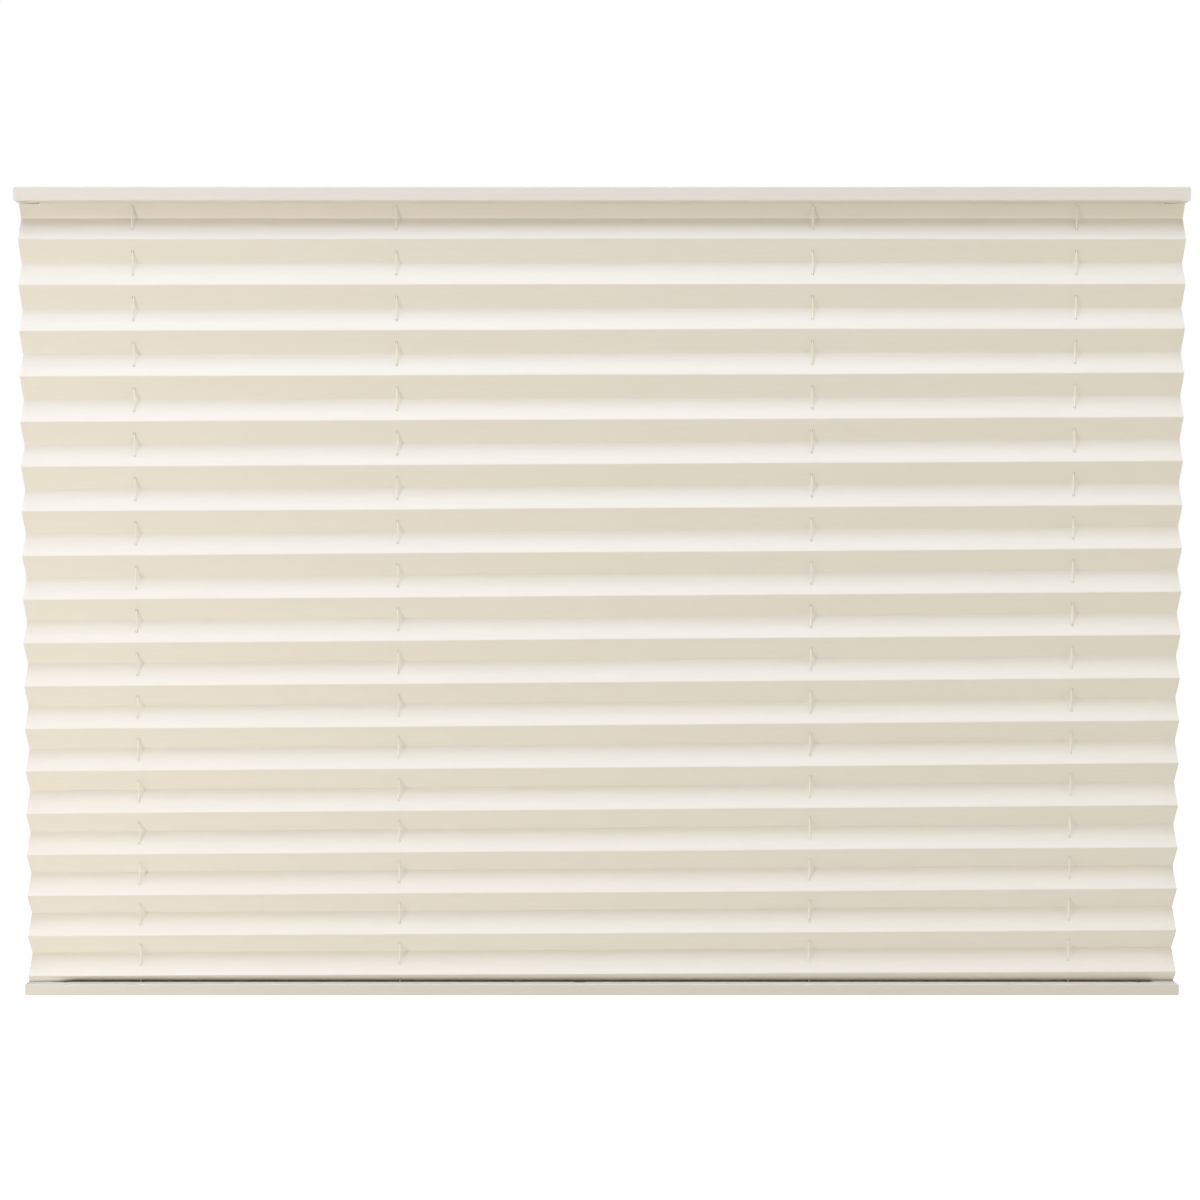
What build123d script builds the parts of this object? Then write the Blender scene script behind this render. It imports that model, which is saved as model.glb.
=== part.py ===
from build123d import *
import math
import os

os.makedirs("parts", exist_ok=True)

# Pleated blind for a caravan window. Millimetres, +Z up, +X to the right, the front faces -Y.
# The origin is the middle of the head rail's top face, which lies against the lintel.

# ---- Overall sizes ----
blind_width = 1371.6
drop = 952.0
rail_depth = 32.0

# ---- Rails: thin channels whose slots face each other ----
head_rail_height = 16.0
bottom_rail_height = 13.5
rail_wall = 1.2
rail_corner_radius = 1.0
slot_width = 10.0

# ---- End caps ----
head_cap_flange = 10.0
head_cap_plug = 14.0
head_cap_drop = 0.8
head_cap_corner = 3.0
bottom_cap_flange = 7.0
bottom_cap_plug = 21.0
bottom_cap_corner = 1.2
plug_clearance = 0.1

# ---- Stiffening strips that hold the fabric's ends inside the rails ----
strip_thickness = 1.4
strip_side_clearance = 0.5
strip_end_clearance = 1.0
seat_clearance = 0.05

# ---- Pleated fabric ----
fabric_inset = 1.4
fabric_thickness = 0.4
face_length = 29.2
openness = 1.751
first_nose_share = 0.835
last_nose_share = 0.207
pitch_loss = 0.04
pitch_loss_squared = 0.04
glue_line = 0.1
head_tab_back = 4.4
bottom_tab_length = 3.4
trim_clearance = 0.5

# ---- Guide cords ----
cord_diameter = 1.6
outer_cord_inset = 130.8
cord_pair_spacing = 310.0
cord_shift = 3.0
cord_lead = 2.05
knot_length = 4.0
knot_bulge = 0.7
fabric_hole_clearance = 0.15
hole_punch_length = 3.0

# ---- Tension springs in the head rail, one between the cords of a pair ----
spring_body_length = 60.0
spring_outer_diameter = 6.0
spring_wire = 0.8
spring_roof_clearance = 1.8
spring_eye_length = 4.0
spring_eye_hole = 2.4

# ---- Eyelets in the head strip and bushes in the bottom rail ----
strip_hole_diameter = 5.0
eyelet_flange_diameter = 8.0
eyelet_flange_thickness = 0.8
eyelet_spigot_clearance = 0.1
eyelet_bore_clearance = 0.5
bush_hole_diameter = 7.0
bush_flange_diameter = 10.0
bush_flange_thickness = 1.0
bush_fit_clearance = 0.05
bush_bore_clearance = 0.6

# ---- Crimp marks that lock the strip in the bottom rail's front lip ----
crimp_depth = 2.0
long_crimp_width = 14.0
long_crimp_x = -26.0
short_crimp_width = 5.0
short_crimp_inset = 45.0

# ---- Derived places ----
half_width = blind_width / 2
head_rail_half = half_width - head_cap_flange
bottom_rail_half = half_width - bottom_cap_flange
bottom_rail_top = -drop + bottom_rail_height
head_strip_bottom = -head_rail_height + rail_wall + seat_clearance
head_strip_top = head_strip_bottom + strip_thickness
bottom_strip_top = bottom_rail_top - rail_wall - seat_clearance
bottom_strip_bottom = bottom_strip_top - strip_thickness
strip_width = rail_depth - 2 * (rail_wall + strip_side_clearance)
head_strip_half = head_rail_half - head_cap_plug - strip_end_clearance
bottom_strip_half = bottom_rail_half - bottom_cap_plug - strip_end_clearance
fabric_half = half_width - fabric_inset
cord_height_z = -(rail_wall + spring_roof_clearance + spring_outer_diameter / 2)
eyelet_top = head_strip_top + eyelet_flange_thickness
cord_bend_radius = cord_height_z - eyelet_top - cord_lead
knot_diameter = cord_diameter + 2 * knot_bulge
eyelet_bore = cord_diameter + 2 * eyelet_bore_clearance
bush_bore = cord_diameter + 2 * bush_bore_clearance
outer_cord_x = half_width - outer_cord_inset
inner_cord_x = outer_cord_x - cord_pair_spacing
cord_xs = [cord_shift + x for x in (-outer_cord_x, -inner_cord_x, inner_cord_x, outer_cord_x)]


def finish(part, name):
    """Label a finished piece and write its file."""
    part.label = name
    export_step(part, f"parts/{name}.step")


def channel(length, height, top_z, slot_up):
    """A rail: a rounded box section with a slot along one side, open at both ends."""
    middle_z = top_z - height / 2
    slot_z = top_z if slot_up else top_z - height
    with BuildPart() as rail:
        with BuildSketch(Plane.YZ.offset(-length / 2)):
            with Locations((0, middle_z)):
                RectangleRounded(rail_depth, height, rail_corner_radius)
                inside_depth = rail_depth - 2 * rail_wall
                Rectangle(inside_depth, height - 2 * rail_wall, mode=Mode.SUBTRACT)
            with Locations((0, slot_z)):
                Rectangle(slot_width, 4 * rail_wall, mode=Mode.SUBTRACT)
        extrude(amount=length)
    return rail.part


def end_cap(side, start_x, flange, plug, height, rail_height, top_z, corner, slot_up):
    """An end cap: a flange over the rail's end, a plug inside it and a rib that fills the slot."""
    plug_depth = rail_depth - 2 * (rail_wall + plug_clearance)
    plug_height = rail_height - 2 * (rail_wall + plug_clearance)
    rib_height = rail_wall + 2 * plug_clearance
    rib_z = top_z - rib_height / 2 if slot_up else top_z - rail_height + rib_height / 2
    with BuildPart() as cap:
        with BuildSketch(Plane.XZ) as front:
            with Locations((side * (start_x + flange / 2), top_z - height / 2)):
                Rectangle(flange, height)
            outer_corners = front.vertices().group_by(Axis.X)[-1 if side > 0 else 0]
            fillet(outer_corners, corner)
        extrude(amount=rail_depth / 2, both=True)
        inner_face = cap.faces().sort_by(Axis.X)[0 if side > 0 else -1]
        outline = cap.faces().group_by(Axis.Y)[0].edges() + cap.faces().group_by(Axis.Y)[-1].edges()
        kept_sharp = [edge.center() for edge in inner_face.edges()]
        rounded = outline.filter_by(lambda edge: edge.center() not in kept_sharp)
        fillet(rounded, rail_corner_radius)
        with BuildSketch(Plane.YZ.offset(side * start_x)):
            with Locations((0, top_z - rail_height / 2)):
                Rectangle(plug_depth, plug_height)
            with Locations((0, rib_z)):
                Rectangle(slot_width - 2 * plug_clearance, rib_height)
        extrude(amount=-side * plug)
    return cap.part


def strip(half_length, bottom_z):
    """A flat plastic strip with a hole for each cord."""
    with BuildPart() as flat_strip:
        with Locations((0, 0, bottom_z)):
            Box(
                2 * half_length,
                strip_width,
                strip_thickness,
                align=(Align.CENTER, Align.CENTER, Align.MIN),
            )
        with Locations(*[(x, 0, bottom_z) for x in cord_xs]):
            Cylinder(strip_hole_diameter / 2, 4 * strip_thickness, mode=Mode.SUBTRACT)
    return flat_strip.part


def eyelet(x):
    """An eyelet on the head strip: its flange lies on the strip and its spigot goes through it."""
    spigot_radius = strip_hole_diameter / 2 - eyelet_spigot_clearance
    spigot_length = strip_thickness + glue_line + fabric_thickness
    with BuildPart() as ring:
        with Locations((x, 0, head_strip_top)):
            Cylinder(
                eyelet_flange_diameter / 2,
                eyelet_flange_thickness,
                align=(Align.CENTER, Align.CENTER, Align.MIN),
            )
        top_face = ring.faces().sort_by(Axis.Z)[-1]
        fillet(top_face.edges(), eyelet_flange_thickness / 2)
        with Locations((x, 0, head_strip_top)):
            Cylinder(spigot_radius, spigot_length, align=(Align.CENTER, Align.CENTER, Align.MAX))
            Cylinder(eyelet_bore / 2, 6 * strip_thickness, mode=Mode.SUBTRACT)
    return ring.part


def bush(x):
    """A bush in the bottom rail's floor: the flange is inside and the spigot ends flush outside."""
    floor_top = -drop + rail_wall
    spigot_radius = bush_hole_diameter / 2 - bush_fit_clearance
    with BuildPart() as ring:
        with Locations((x, 0, floor_top)):
            Cylinder(
                bush_flange_diameter / 2,
                bush_flange_thickness,
                align=(Align.CENTER, Align.CENTER, Align.MIN),
            )
            Cylinder(spigot_radius, rail_wall, align=(Align.CENTER, Align.CENTER, Align.MAX))
            Cylinder(bush_bore / 2, 6 * rail_wall, mode=Mode.SUBTRACT)
        rim = ring.faces().sort_by(Axis.Z)[0]
        chamfer(rim.inner_wires()[0].edges(), rail_wall / 3)
    return ring.part


def spring(middle_x):
    """A close-wound tension spring along X, its turns drawn as ribs, with a flat eye at each end."""
    turns = round(spring_body_length / spring_wire)
    start_x = middle_x - spring_body_length / 2
    end_x = start_x + spring_body_length
    pitch = spring_body_length / turns
    groove = cord_height_z + (spring_outer_diameter - spring_wire) / 2
    inner = groove - spring_wire / 2
    ribs = [(start_x, groove)]
    for turn in range(turns):
        left = start_x + turn * pitch
        ribs += [(left + pitch / 2, groove + spring_wire / 2), (left + pitch, groove)]
    eye_length = spring_eye_length + 2 * spring_wire
    eye_x = spring_body_length / 2 + spring_eye_length - eye_length / 2
    hole_x = (spring_body_length + spring_eye_length) / 2
    with BuildPart() as coil:
        with BuildSketch(Plane.XZ):
            with BuildLine():
                Polyline((start_x, inner), *ribs, (end_x, inner), close=True)
            make_face()
        revolve(axis=Axis((0, 0, cord_height_z), (1, 0, 0)))
        with Locations(*[(middle_x + side * eye_x, 0, cord_height_z) for side in (-1, 1)]):
            Box(eye_length, spring_wire, 2 * (groove - cord_height_z))
        with Locations(*[(middle_x + side * hole_x, 0, cord_height_z) for side in (-1, 1)]):
            Cylinder(spring_eye_hole / 2, 2 * spring_wire, rotation=(90, 0, 0), mode=Mode.SUBTRACT)
    return coil.part


def guide_cord(x, spring_end_x):
    """A cord: a knot at the spring's eye, along the head rail, then straight down to the bottom."""
    knot_at = Plane((spring_end_x, 0, cord_height_z), z_dir=(math.copysign(1, x - spring_end_x), 0, 0))
    route = (knot_at.origin, (x, 0, cord_height_z), (x, 0, -drop))
    with BuildPart() as cord:
        with BuildLine():
            FilletPolyline(*route, radius=cord_bend_radius)
        with BuildSketch(knot_at):
            Circle(cord_diameter / 2)
        sweep()
        with BuildSketch(knot_at):
            Circle(knot_diameter / 2)
        extrude(amount=knot_length)
    return cord.part


def nose_heights():
    """The heights of the front folds. Their spacing shrinks downwards under the cloth's weight."""
    usual_pitch = face_length * openness
    first_nose_z = -head_rail_height - first_nose_share * usual_pitch
    span = first_nose_z - (bottom_rail_top + last_nose_share * usual_pitch)
    gaps = round(span / usual_pitch)
    shares = [gap / (gaps - 1) for gap in range(gaps)]
    weights = [1 - pitch_loss * share - pitch_loss_squared * share**2 for share in shares]
    heights = [first_nose_z]
    for weight in weights:
        heights.append(heights[-1] - span * weight / sum(weights))
    return heights


def half_fold_depth(rise):
    """Half the depth of a pleat whose two folds stand this far apart in height."""
    return math.sqrt(face_length**2 - rise**2) / 2


def fold_line():
    """The folded cloth's middle line, as (y, z) points from the head strip to the bottom strip."""
    noses = nose_heights()
    top_rise = (noses[0] - noses[1]) / 2
    last_rise = (noses[-2] - noses[-1]) / 2
    top_depth = half_fold_depth(top_rise)
    last_depth = half_fold_depth(last_rise)
    top_tab_z = head_strip_bottom - glue_line - fabric_thickness / 2
    last_tab_z = bottom_strip_top + glue_line + fabric_thickness / 2
    first_valley_z = noses[0] + top_rise
    top_y = top_depth * (1 - 2 * (top_tab_z - first_valley_z) / top_rise)
    last_y = last_depth * (2 * (noses[-1] - last_tab_z) / last_rise - 1)
    points = [(head_tab_back, top_tab_z), (top_y, top_tab_z), (top_depth, first_valley_z)]
    for upper, lower in zip(noses, noses[1:]):
        depth = half_fold_depth((upper - lower) / 2)
        points.append((-depth, upper))
        points.append((depth, (upper + lower) / 2))
    points.append((-last_depth, noses[-1]))
    points.append((last_y, last_tab_z))
    points.append((last_y + bottom_tab_length, last_tab_z))
    return points


def fabric_hole_diameter():
    """The punched hole that lets an upright cord through the steepest face, the top one."""
    noses = nose_heights()
    sine = (noses[0] - noses[1]) / 2 / face_length
    cosine = math.sqrt(1 - sine**2)
    clear_width = cord_diameter + 2 * fabric_hole_clearance
    return (clear_width + fabric_thickness * sine) / cosine


def thick_outline(points, thickness):
    """The closed outline of a folded sheet: its middle line, offset to both sides with mitres."""
    steps = [Vector(b) - Vector(a) for a, b in zip(points, points[1:])]
    normals = [Vector(-step.Y, step.X).normalized() for step in steps]
    pairs = zip([normals[0]] + normals, normals + [normals[-1]])
    mitres = [(a + b) * (thickness / 2 / (1 + a.dot(b))) for a, b in pairs]
    near_side = [Vector(point) + mitre for point, mitre in zip(points, mitres)]
    far_side = [Vector(point) - mitre for point, mitre in zip(points, mitres)]
    return near_side + far_side[::-1]


def cord_crossings(points):
    """A plane at each place where a cord goes through a face of the cloth, lying in that face."""
    planes = []
    for (y1, z1), (y2, z2) in zip(points, points[1:]):
        if y1 * y2 < 0:
            z = z1 + (z2 - z1) * y1 / (y1 - y2)
            normal = (0, z2 - z1, y1 - y2)
            planes += [Plane((x, 0, z), x_dir=(1, 0, 0), z_dir=normal) for x in cord_xs]
    return planes


def pleated_fabric(points):
    """The cloth: one folded sheet with a punched hole for each cord in each face."""
    end_zones = (
        (head_strip_half, 0, -head_rail_height - head_cap_drop - trim_clearance),
        (bottom_strip_half, bottom_rail_top + trim_clearance, -drop),
    )
    hole_radius = fabric_hole_diameter() / 2
    with BuildPart() as cloth:
        with BuildSketch(Plane.YZ.offset(-fabric_half)):
            with BuildLine():
                Polyline(*thick_outline(points, fabric_thickness), close=True)
            make_face()
        extrude(amount=2 * fabric_half)
        for clear_half, zone_top, zone_bottom in end_zones:
            middle_z = (zone_top + zone_bottom) / 2
            zone_length = half_width - clear_half
            middles = [(side * (clear_half + zone_length / 2), 0, middle_z) for side in (-1, 1)]
            with Locations(*middles):
                Box(zone_length, rail_depth, zone_top - zone_bottom, mode=Mode.SUBTRACT)
        with Locations(*cord_crossings(points)):
            Cylinder(hole_radius, hole_punch_length, mode=Mode.SUBTRACT)
    return cloth.part


def bottom_channel():
    """The bottom rail: its slot is on top, with bush holes in the floor and crimps in the lip."""
    lip_y = -slot_width / 2
    short_crimp_x = half_width - short_crimp_inset
    crimps = [(long_crimp_x, long_crimp_width)]
    crimps += [(side * short_crimp_x, short_crimp_width) for side in (-1, 1)]
    with BuildPart() as rail:
        add(channel(2 * bottom_rail_half, bottom_rail_height, bottom_rail_top, slot_up=True))
        with BuildSketch(Plane.XY.offset(bottom_rail_top)):
            for x, width in crimps:
                with Locations((x, lip_y)):
                    SlotOverall(width, 2 * crimp_depth)
        extrude(amount=-rail_wall, mode=Mode.SUBTRACT)
        with Locations(*[(x, 0, -drop) for x in cord_xs]):
            Cylinder(bush_hole_diameter / 2, 4 * rail_wall, mode=Mode.SUBTRACT)
    return rail.part


# ---- Head rail assembly ----
finish(channel(2 * head_rail_half, head_rail_height, 0, slot_up=False), "head_rail")
finish(strip(head_strip_half, head_strip_bottom), "head_strip")

# ---- Bottom rail assembly ----
finish(bottom_channel(), "bottom_rail")
finish(strip(bottom_strip_half, bottom_strip_bottom), "bottom_strip")

for side, hand in ((-1, "left"), (1, "right")):
    head_cap = end_cap(
        side,
        head_rail_half,
        head_cap_flange,
        head_cap_plug,
        head_rail_height + head_cap_drop,
        head_rail_height,
        0,
        head_cap_corner,
        slot_up=False,
    )
    finish(head_cap, f"head_end_cap_{hand}")
    bottom_cap = end_cap(
        side,
        bottom_rail_half,
        bottom_cap_flange,
        bottom_cap_plug,
        bottom_rail_height,
        bottom_rail_height,
        bottom_rail_top,
        bottom_cap_corner,
        slot_up=True,
    )
    finish(bottom_cap, f"bottom_end_cap_{hand}")

# ---- Cloth ----
middle_line = fold_line()
finish(pleated_fabric(middle_line), "pleated_fabric")

# ---- Cords, each with its eyelet, its bush and its end of a spring ----
spring_reach = spring_body_length / 2 + spring_eye_length
for hand, left, right in (("left", 0, 1), ("right", 2, 3)):
    spring_x = (cord_xs[left] + cord_xs[right]) / 2
    finish(spring(spring_x), f"tension_spring_{hand}")
    for index, end_x in ((left, spring_x - spring_reach), (right, spring_x + spring_reach)):
        finish(guide_cord(cord_xs[index], end_x), f"guide_cord_{index + 1}")
        finish(eyelet(cord_xs[index]), f"head_eyelet_{index + 1}")
        finish(bush(cord_xs[index]), f"bottom_bush_{index + 1}")

flat_length = sum((Vector(b) - Vector(a)).length for a, b in zip(middle_line, middle_line[1:]))
print("cloth cut size", 2 * fabric_half, "by", round(flat_length, 1))
print("front folds", len(nose_heights()), "cord hole", round(fabric_hole_diameter(), 2))
print("cord bend radius", round(cord_bend_radius, 2))
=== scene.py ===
import math

import bpy
import numpy as np
from bpy.props import FloatProperty, FloatVectorProperty, IntProperty, PointerProperty
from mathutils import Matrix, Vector, noise


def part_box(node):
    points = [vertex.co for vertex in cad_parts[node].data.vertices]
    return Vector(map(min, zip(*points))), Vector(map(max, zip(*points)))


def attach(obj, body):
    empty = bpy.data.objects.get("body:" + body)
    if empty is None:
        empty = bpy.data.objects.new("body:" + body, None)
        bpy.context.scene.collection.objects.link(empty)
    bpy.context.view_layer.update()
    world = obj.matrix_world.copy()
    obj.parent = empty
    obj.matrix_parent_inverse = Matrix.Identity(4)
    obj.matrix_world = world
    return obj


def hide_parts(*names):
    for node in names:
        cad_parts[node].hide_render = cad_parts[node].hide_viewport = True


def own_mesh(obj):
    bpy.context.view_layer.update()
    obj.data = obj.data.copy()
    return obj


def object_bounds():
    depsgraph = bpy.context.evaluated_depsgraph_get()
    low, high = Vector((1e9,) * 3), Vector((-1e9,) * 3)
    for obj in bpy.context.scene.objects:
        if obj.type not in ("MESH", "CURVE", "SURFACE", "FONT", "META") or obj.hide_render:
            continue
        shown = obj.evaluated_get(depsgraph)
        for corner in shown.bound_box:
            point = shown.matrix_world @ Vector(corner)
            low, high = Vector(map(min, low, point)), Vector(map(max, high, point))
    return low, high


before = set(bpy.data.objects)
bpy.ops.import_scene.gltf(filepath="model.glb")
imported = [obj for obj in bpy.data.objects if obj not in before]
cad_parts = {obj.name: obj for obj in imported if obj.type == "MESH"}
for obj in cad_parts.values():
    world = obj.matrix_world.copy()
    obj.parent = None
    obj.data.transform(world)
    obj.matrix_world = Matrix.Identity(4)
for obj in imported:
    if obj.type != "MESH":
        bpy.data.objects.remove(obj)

bl_info = {
    "name": "Pleated Blind",
    "version": (1, 0, 0),
    "blender": (4, 5, 0),
    "location": "3D Viewport > Sidebar > Blind",
    "description": "Builds a pleated blind's cloth, cords and springs, and finishes its rails",
    "category": "Add Mesh",
}

# ---- Places read from the frame ----
CAD_LOW, CAD_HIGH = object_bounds()
HEAD_RAIL_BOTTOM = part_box("head_rail")[0].z
BOTTOM_RAIL_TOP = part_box("bottom_rail")[1].z
HEAD_STRIP_LOW, HEAD_STRIP_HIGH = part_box("head_strip")
BOTTOM_STRIP_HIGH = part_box("bottom_strip")[1]
CLOTH_LOW, CLOTH_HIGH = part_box("pleated_fabric")
CAP_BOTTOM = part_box("head_end_cap_left")[0].z
CORD_NUMBERS = (1, 2, 3, 4)
EYELET_BOXES = {number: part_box(f"head_eyelet_{number}") for number in CORD_NUMBERS}
CORD_PLACES = {number: (low.x + high.x) / 2 for number, (low, high) in EYELET_BOXES.items()}
SPRING_BOXES = {hand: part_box(f"tension_spring_{hand}") for hand in ("left", "right")}
SPRING_AXIS_Z = (SPRING_BOXES["left"][0].z + SPRING_BOXES["left"][1].z) / 2


# ---- Sizes and colours a user would change ----
def length(name, description, default):
    """A size in metres."""
    return FloatProperty(name=name, description=description, default=default, unit="LENGTH", precision=5)


def share(name, description, default):
    """A plain number."""
    return FloatProperty(name=name, description=description, default=default, precision=4)


def power(name, description, default):
    """A light's power in watts."""
    return FloatProperty(name=name, description=description, default=default, unit="POWER")


def colour(name, description, default):
    """A linear colour."""
    return FloatVectorProperty(
        name=name, description=description, default=default, size=3, subtype="COLOR", min=0.0, max=1.0
    )


class BlindClothSettings(bpy.types.PropertyGroup):
    """The folded cloth."""

    face_length: length("Face length", "Cloth between two neighbouring folds", 0.0292)
    openness: share("Openness", "Usual fold spacing over the face length", 1.751)
    first_nose_share: share("First fold share", "Head rail to first front fold, over the spacing", 0.835)
    last_nose_share: share("Last fold share", "Last front fold to bottom rail, over the spacing", 0.207)
    pitch_loss: share("Spacing loss", "How much the spacing shrinks downwards", 0.04)
    pitch_loss_squared: share("Spacing loss squared", "How much faster it shrinks further down", 0.04)
    glue_line: length("Glue line", "Gap between a tab and its strip", 0.0001)
    head_tab_back: length("Head tab back", "How far the head tab reaches behind the cords", 0.0044)
    foot_back: length("Foot back", "How far behind the cords the cloth meets the bottom strip", 0.0036)
    bottom_tab_length: length("Bottom tab length", "Cloth glued along the bottom strip", 0.00086)
    closed_lift: length("Closed lift", "How far the raised cloth's foot stands off its strip", 0.0011)
    thickness: length("Thickness", "Thickness of the cloth", 0.0004)
    crease: length("Crease", "Half the length of cloth that a crease bends", 0.00045)
    sag: length("Sag", "How far a face sags between its folds", 0.00025)
    ripple: length("Ripple", "Height of the slow waves across a face", 0.00035)
    wander: length("Wander", "How far a fold strays from a straight line", 0.0006)
    tilt: length("Tilt", "How far the middle folds' right ends stand above level", 0.0052)
    hole: length("Hole", "Length of a cord hole, down the face", 0.0034)
    hole_width: length("Hole width", "Width of a cord hole, along the fold", 0.0021)
    trim_clearance: length("Trim clearance", "Gap round the end caps where the cloth is cut", 0.0002)
    corner_lean: length("Corner lean", "How far the cloth's foot leans forwards at its left end", 0.0058)
    base: colour("Cloth", "Cream of the cloth", (0.885, 0.87, 0.845))
    shade: colour("Cloth shade", "Slightly deeper cream of its denser fibres", (0.85, 0.825, 0.785))
    # Painted shade: a dark ring round each cord hole stands in for the shade seen through the hole.
    rim: colour("Hole rim", "Painted shade round a cord hole", (0.2, 0.17, 0.12))
    # Painted shade: this colour darkens the first face under the head rail and the last face above the
    # bottom rail.
    dust: colour("Cloth rail shade", "Painted shade on the cloth beside the rails", (0.66, 0.632, 0.59))


class BlindCordSettings(bpy.types.PropertyGroup):
    """The guide cords."""

    diameter: length("Diameter", "Diameter of a guide cord", 0.0016)
    bend_radius: length("Bend radius", "Radius of the bend above the eyelet", 0.0045)
    braid_depth: length("Braid depth", "Height of the braid's ridges", 0.00007)
    braid_length: length("Braid length", "Cord length of one ridge of the braid", 0.0032)
    stray: length("Stray", "How far a cord strays from upright between its holes", 0.00045)
    base: colour("Cord", "Cream of the cord", (0.93, 0.915, 0.87))
    shade: colour("Cord shade", "Deeper cream between its strands", (0.84, 0.81, 0.74))


class BlindSpringSettings(bpy.types.PropertyGroup):
    """The tension springs."""

    wire: length("Wire", "Diameter of the spring wire", 0.0008)
    body_length: length("Body length", "Length of the close-wound body", 0.06)
    turns: IntProperty(name="Turns", description="Turns of the close-wound body", default=75, min=1)
    eye_hole: length("Eye hole", "Inner diameter of the eye at each end", 0.0024)
    base: colour("Steel", "Bright drawn steel", (0.62, 0.61, 0.59))
    shade: colour("Steel shade", "Darker draw marks in it", (0.496, 0.488, 0.472))


class BlindFinishSettings(bpy.types.PropertyGroup):
    """Finishes of the rails and fittings."""

    head: colour("Head rail", "Cream finish of the head rail and its caps", (0.8, 0.785, 0.77))
    head_shade: colour("Head rail shade", "Thinner places of that finish", (0.775, 0.75, 0.735))
    # Painted shade: the bottom rail and its caps take a darker copy of the head rail's cream.
    foot: colour("Bottom rail", "Cream of the bottom rail and its caps, darkened as painted shade", (0.715, 0.705, 0.672))
    foot_shade: colour("Bottom rail shade", "Thinner places of that finish", (0.685, 0.67, 0.63))
    # Painted shade: the strips are dark brown to stand for the shade inside the rail channels.
    strip: colour("Strip", "Dark brown of the strips, painted shade of the rail channels", (0.16, 0.12, 0.075))
    strip_shade: colour("Strip shade", "Die lines in the strips", (0.12, 0.09, 0.055))
    ring: colour("Ring", "Moulded plastic of the eyelets and bushes", (0.78, 0.77, 0.74))
    ring_shade: colour("Ring shade", "Flow marks in the eyelets and bushes", (0.72, 0.71, 0.67))
    dust: colour("Dust", "Fine dust on level surfaces", (0.72, 0.69, 0.62))


class BlindStageSettings(bpy.types.PropertyGroup):
    """Floor, light and camera."""

    camera_distance: length("Camera distance", "From the blind's middle plane to the camera", 1.916)
    camera_side: length("Camera side", "How far the camera stands to the right", -0.0023)
    camera_drop: length("Camera drop", "How far the camera stands below the head rail's top", 0.4051)
    camera_pitch: FloatProperty(
        name="Camera pitch",
        description="How far the camera looks down",
        default=math.radians(2.308),
        subtype="ANGLE",
    )
    lens: FloatProperty(name="Lens", description="Focal length in millimetres", default=48.5, min=1.0)
    floor_gap: length("Floor gap", "From the blind's lower edge down to the floor", 0.6)
    floor_lift: share("Floor lift", "Brightness added to the floor as seen", 1.0)
    floor_bounce: colour("Floor bounce", "Colour of the light the floor sends back", (0.8, 0.78, 0.74))
    sky: share("Sky", "Strength of the even light from all round", 0.12)
    high_power: power("High", "Power of the cool light above", 119.5)
    left_power: power("Left", "Power of the warm light low at the left", 41.5)
    right_power: power("Right", "Power of the warm light at the right", 31.0)
    back_power: power("Back", "Power of the light behind", 52.0)


# ---- Node helpers ----
NUMBER = "NodeSocketFloat"
VECTOR = "NodeSocketVector"
COLOUR = "NodeSocketColor"


def feed(tree, socket, value):
    """Link an input to an output socket, or set its value."""
    if isinstance(value, bpy.types.NodeSocket):
        tree.links.new(value, socket)
    else:
        socket.default_value = value


def feed_inputs(tree, node, **values):
    """Feed a node's inputs by name (spaces written as _)."""
    for name, value in values.items():
        feed(tree, node.inputs[name.replace("_", " ")], value)


def add_node(tree, kind, *first_inputs, **values):
    """Add a node, feeding its first inputs in order and setting its properties or inputs by name."""
    node = tree.nodes.new(kind)
    for name, value in values.items():
        if hasattr(node, name):
            setattr(node, name, value)
        else:
            feed_inputs(tree, node, **{name: value})
    for socket, value in zip(node.inputs, first_inputs):
        feed(tree, socket, value)
    return node


def calculate(tree, operation, *values, clamp=False):
    """One step of arithmetic; returns its result."""
    node = add_node(tree, "ShaderNodeMath", *values, operation=operation, use_clamp=clamp)
    return node.outputs["Value"]


def remap(tree, value, low, high, top=1.0):
    """Turn values from low to high into values from 0 to top."""
    node = add_node(tree, "ShaderNodeMapRange", Value=value, From_Min=low, From_Max=high, To_Max=top)
    return node.outputs["Result"]


def clouds(tree, vector, scale, detail, roughness):
    """A cloudy mask."""
    inputs = {"Vector": vector, "Scale": scale, "Detail": detail, "Roughness": roughness}
    return add_node(tree, "ShaderNodeTexNoise", **inputs).outputs["Fac"]


def blend(tree, factor, first, second):
    """Mix two colours; the node keeps them in the inputs and the output that are numbered here."""
    node = add_node(tree, "ShaderNodeMix", factor, data_type="RGBA")
    feed(tree, node.inputs[6], first)
    feed(tree, node.inputs[7], second)
    return node.outputs[2]


def mix_shaders(tree, factor, first, second):
    """Mix two shaders."""
    return add_node(tree, "ShaderNodeMixShader", factor, first, second).outputs["Shader"]


def new_group(name, inputs, outputs):
    """An empty shader node group; returns it, the sockets it starts from and those it ends in."""
    group = bpy.data.node_groups.new(name, "ShaderNodeTree")
    for socket_name, (kind, default) in inputs.items():
        made = group.interface.new_socket(socket_name, in_out="INPUT", socket_type=kind)
        made.default_value = default
    for socket_name, kind in outputs.items():
        group.interface.new_socket(socket_name, in_out="OUTPUT", socket_type=kind)
    start = group.nodes.new("NodeGroupInput").outputs
    return group, start, group.nodes.new("NodeGroupOutput")


def stretched(group, start):
    """A group's vector, stretched by its own amount along each axis."""
    vectors = (start["Vector"], start["Stretch"])
    return add_node(group, "ShaderNodeVectorMath", *vectors, operation="MULTIPLY").outputs["Vector"]


# The finer of a surface's two grains: its scale and its weight against the coarser one,
# and the usual height of both together.
FINE_GRAIN_SCALE = 3.7
FINE_GRAIN_WEIGHT = 0.35
USUAL_GRAIN_HEIGHT = 0.68


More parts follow.
